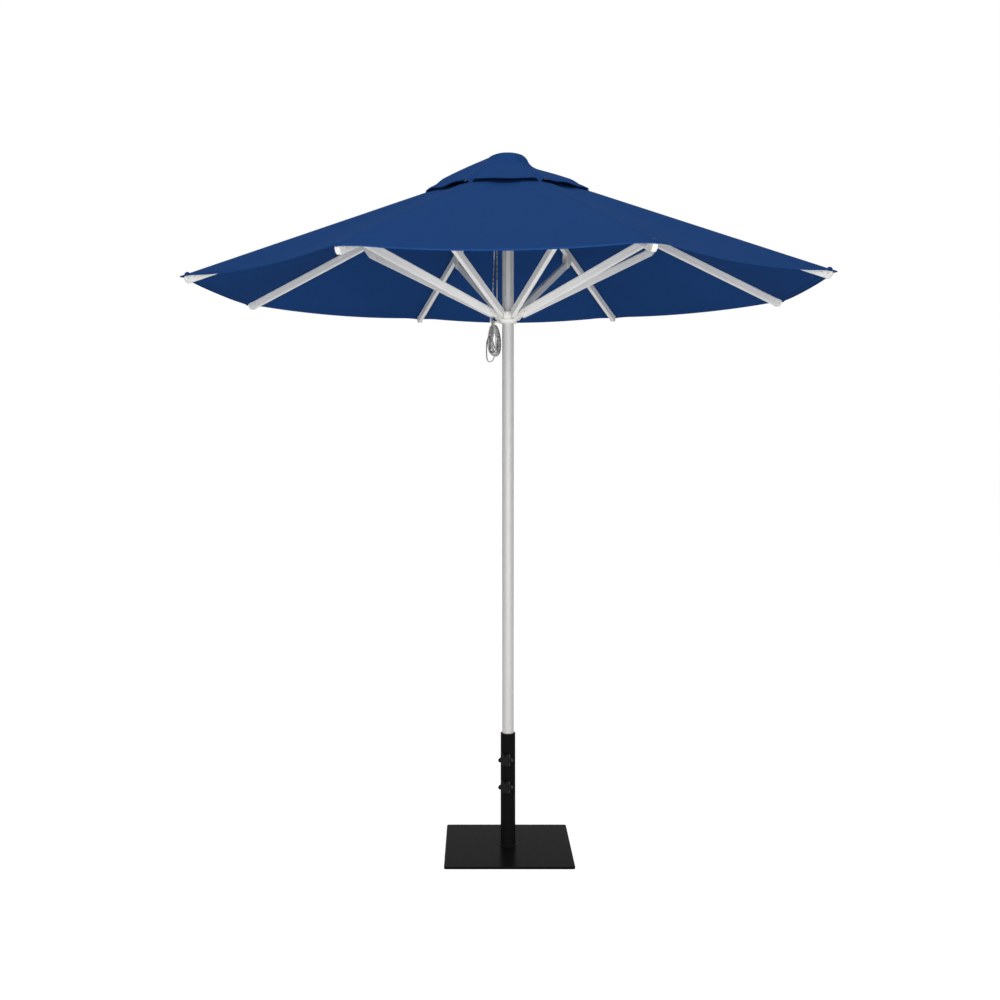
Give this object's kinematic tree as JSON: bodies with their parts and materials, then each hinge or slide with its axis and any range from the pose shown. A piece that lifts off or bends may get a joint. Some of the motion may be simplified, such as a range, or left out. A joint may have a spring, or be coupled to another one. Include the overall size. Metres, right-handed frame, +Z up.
{
  "type": "patio umbrella with base",
  "caption": "Octagonal market umbrella with a vented cloth canopy, folding metal ribs and struts, rope-lifted runner, round pole and a square steel plate base with clamp knobs.",
  "frame": {"origin": "centre of the square base plate's underside, on the floor", "axes": "+Z up along the pole; +X and +Y along the plate's edges, with the clamp knobs on the -Y side"},
  "size_m": [2.4568, 2.4568, 2.8203],
  "materials": {
    "black_steel": "satin",
    "black_plastic": "satin",
    "silver_tube": "satin",
    "grey_plastic": "satin",
    "steel_pins": "satin",
    "canopy_cloth": "matte",
    "rope": "matte"
  },
  "bodies": {
    "base": {"base_plate": "black_steel", "base_stem": "black_steel", "clamp_nuts": "black_steel"},
    "mast": {"pole": "silver_tube", "pole_foot": "black_plastic", "top_hub": "grey_plastic", "hub_pins": "steel_pins", "sheave_pin": "steel_pins", "crown_former": "grey_plastic", "crown_cover": "canopy_cloth", "lift_rope": "rope"},
    "knob_upper": {"knob_upper": "black_plastic"},
    "knob_lower": {"knob_lower": "black_plastic"},
    "sheave": {"pulley_sheave": "grey_plastic"},
    "rib_1": {"rib_1": "silver_tube", "rib_fittings_1": "grey_plastic", "canopy_gore_1": "canopy_cloth"},
    "strut_1": {"strut_1": "silver_tube", "strut_ends_1": "grey_plastic"},
    "rib_2": {"rib_2": "silver_tube", "rib_fittings_2": "grey_plastic", "canopy_gore_2": "canopy_cloth"},
    "strut_2": {"strut_2": "silver_tube", "strut_ends_2": "grey_plastic"},
    "rib_3": {"rib_3": "silver_tube", "rib_fittings_3": "grey_plastic", "canopy_gore_3": "canopy_cloth"},
    "strut_3": {"strut_3": "silver_tube", "strut_ends_3": "grey_plastic"},
    "rib_4": {"rib_4": "silver_tube", "rib_fittings_4": "grey_plastic", "canopy_gore_4": "canopy_cloth"},
    "strut_4": {"strut_4": "silver_tube", "strut_ends_4": "grey_plastic"},
    "rib_5": {"rib_5": "silver_tube", "rib_fittings_5": "grey_plastic", "canopy_gore_5": "canopy_cloth"},
    "strut_5": {"strut_5": "silver_tube", "strut_ends_5": "grey_plastic"},
    "rib_6": {"rib_6": "silver_tube", "rib_fittings_6": "grey_plastic", "canopy_gore_6": "canopy_cloth"},
    "strut_6": {"strut_6": "silver_tube", "strut_ends_6": "grey_plastic"},
    "rib_7": {"rib_7": "silver_tube", "rib_fittings_7": "grey_plastic", "canopy_gore_7": "canopy_cloth"},
    "strut_7": {"strut_7": "silver_tube", "strut_ends_7": "grey_plastic"},
    "rib_8": {"rib_8": "silver_tube", "rib_fittings_8": "grey_plastic", "canopy_gore_8": "canopy_cloth"},
    "strut_8": {"strut_8": "silver_tube", "strut_ends_8": "grey_plastic"},
    "runner": {"runner": "grey_plastic", "runner_pins": "steel_pins", "rope_hook": "steel_pins", "rope_hank": "rope"},
    "lock_pin": {"lock_pin": "steel_pins"}
  },
  "joints": [
    {"name": "mast_lift", "type": "slide", "parent": "base", "child": "mast", "axis": [0, 0, 1], "range_m": [0, 0.46]},
    {"name": "knob_upper_turn", "type": "hinge", "parent": "base", "child": "knob_upper", "pos_m": [0, 0, 0.368], "axis": [-0.2079, -0.9781, 0], "continuous": true},
    {"name": "knob_lower_turn", "type": "hinge", "parent": "base", "child": "knob_lower", "pos_m": [0, 0, 0.259], "axis": [-0.2079, -0.9781, 0], "continuous": true},
    {"name": "sheave_spin", "type": "hinge", "parent": "mast", "child": "sheave", "pos_m": [-0.04492, 0.00267, 2.72951], "axis": [-0.9982, 0.0593, 0], "continuous": true},
    {"name": "rib_1_fold", "type": "hinge", "parent": "mast", "child": "rib_1", "pos_m": [-0.01835, -0.03778, 2.74151], "axis": [0.8996, -0.4368, 0], "range_deg": [0, 62.5], "deforming": ["canopy_gore_1"]},
    {"name": "strut_1_fold", "type": "hinge", "parent": "rib_1", "child": "strut_1", "pos_m": [-0.27955, -0.57572, 2.45071], "axis": [0.8996, -0.4368, 0], "range_deg": [-125, 0]},
    {"name": "rib_2_fold", "type": "hinge", "parent": "mast", "child": "rib_2", "pos_m": [0.01374, -0.03969, 2.74151], "axis": [0.9449, 0.3272, 0], "range_deg": [0, 62.5], "deforming": ["canopy_gore_2"]},
    {"name": "strut_2_fold", "type": "hinge", "parent": "rib_2", "child": "strut_2", "pos_m": [0.20942, -0.60477, 2.45071], "axis": [0.9449, 0.3272, 0], "range_deg": [-125, 0]},
    {"name": "rib_3_fold", "type": "hinge", "parent": "mast", "child": "rib_3", "pos_m": [0.03778, -0.01835, 2.74151], "axis": [0.4368, 0.8996, 0], "range_deg": [0, 62.5], "deforming": ["canopy_gore_3"]},
    {"name": "strut_3_fold", "type": "hinge", "parent": "rib_3", "child": "strut_3", "pos_m": [0.57572, -0.27955, 2.45071], "axis": [0.4368, 0.8996, 0], "range_deg": [-125, 0]},
    {"name": "rib_4_fold", "type": "hinge", "parent": "mast", "child": "rib_4", "pos_m": [0.03969, 0.01374, 2.74151], "axis": [-0.3272, 0.9449, 0], "range_deg": [0, 62.5], "deforming": ["canopy_gore_4"]},
    {"name": "strut_4_fold", "type": "hinge", "parent": "rib_4", "child": "strut_4", "pos_m": [0.60477, 0.20942, 2.45071], "axis": [-0.3272, 0.9449, 0], "range_deg": [-125, 0]},
    {"name": "rib_5_fold", "type": "hinge", "parent": "mast", "child": "rib_5", "pos_m": [0.01835, 0.03778, 2.74151], "axis": [-0.8996, 0.4368, 0], "range_deg": [0, 62.5], "deforming": ["canopy_gore_5"]},
    {"name": "strut_5_fold", "type": "hinge", "parent": "rib_5", "child": "strut_5", "pos_m": [0.27955, 0.57572, 2.45071], "axis": [-0.8996, 0.4368, 0], "range_deg": [-125, 0]},
    {"name": "rib_6_fold", "type": "hinge", "parent": "mast", "child": "rib_6", "pos_m": [-0.01374, 0.03969, 2.74151], "axis": [-0.9449, -0.3272, 0], "range_deg": [0, 62.5], "deforming": ["canopy_gore_6"]},
    {"name": "strut_6_fold", "type": "hinge", "parent": "rib_6", "child": "strut_6", "pos_m": [-0.20942, 0.60477, 2.45071], "axis": [-0.9449, -0.3272, 0], "range_deg": [-125, 0]},
    {"name": "rib_7_fold", "type": "hinge", "parent": "mast", "child": "rib_7", "pos_m": [-0.03778, 0.01835, 2.74151], "axis": [-0.4368, -0.8996, 0], "range_deg": [0, 62.5], "deforming": ["canopy_gore_7"]},
    {"name": "strut_7_fold", "type": "hinge", "parent": "rib_7", "child": "strut_7", "pos_m": [-0.57572, 0.27955, 2.45071], "axis": [-0.4368, -0.8996, 0], "range_deg": [-125, 0]},
    {"name": "rib_8_fold", "type": "hinge", "parent": "mast", "child": "rib_8", "pos_m": [-0.03969, -0.01374, 2.74151], "axis": [0.3272, -0.9449, 0], "range_deg": [0, 62.5], "deforming": ["canopy_gore_8"]},
    {"name": "strut_8_fold", "type": "hinge", "parent": "rib_8", "child": "strut_8", "pos_m": [-0.60477, -0.20942, 2.45071], "axis": [0.3272, -0.9449, 0], "range_deg": [-125, 0]},
    {"name": "runner_pivot", "type": "hinge", "parent": "strut_1", "child": "runner", "pos_m": [-0.01835, -0.03778, 2.1599], "axis": [0.8996, -0.4368, 0], "range_deg": [0, 62.5]},
    {"name": "lock_pin_pull", "type": "slide", "parent": "runner", "child": "lock_pin", "axis": [-0.0593, -0.9982, 0], "range_m": [0, 0.008], "stiffness_N_per_m": 400, "springref_m": -0.004}
  ],
  "couplings": [
    {"joint": "strut_1_fold", "follows": "rib_1_fold", "ratio": -2},
    {"joint": "rib_2_fold", "follows": "rib_1_fold", "ratio": 1},
    {"joint": "strut_2_fold", "follows": "rib_1_fold", "ratio": -2},
    {"joint": "rib_3_fold", "follows": "rib_1_fold", "ratio": 1},
    {"joint": "strut_3_fold", "follows": "rib_1_fold", "ratio": -2},
    {"joint": "rib_4_fold", "follows": "rib_1_fold", "ratio": 1},
    {"joint": "strut_4_fold", "follows": "rib_1_fold", "ratio": -2},
    {"joint": "rib_5_fold", "follows": "rib_1_fold", "ratio": 1},
    {"joint": "strut_5_fold", "follows": "rib_1_fold", "ratio": -2},
    {"joint": "rib_6_fold", "follows": "rib_1_fold", "ratio": 1},
    {"joint": "strut_6_fold", "follows": "rib_1_fold", "ratio": -2},
    {"joint": "rib_7_fold", "follows": "rib_1_fold", "ratio": 1},
    {"joint": "strut_7_fold", "follows": "rib_1_fold", "ratio": -2},
    {"joint": "rib_8_fold", "follows": "rib_1_fold", "ratio": 1},
    {"joint": "strut_8_fold", "follows": "rib_1_fold", "ratio": -2},
    {"joint": "runner_pivot", "follows": "rib_1_fold", "ratio": 1}
  ]
}
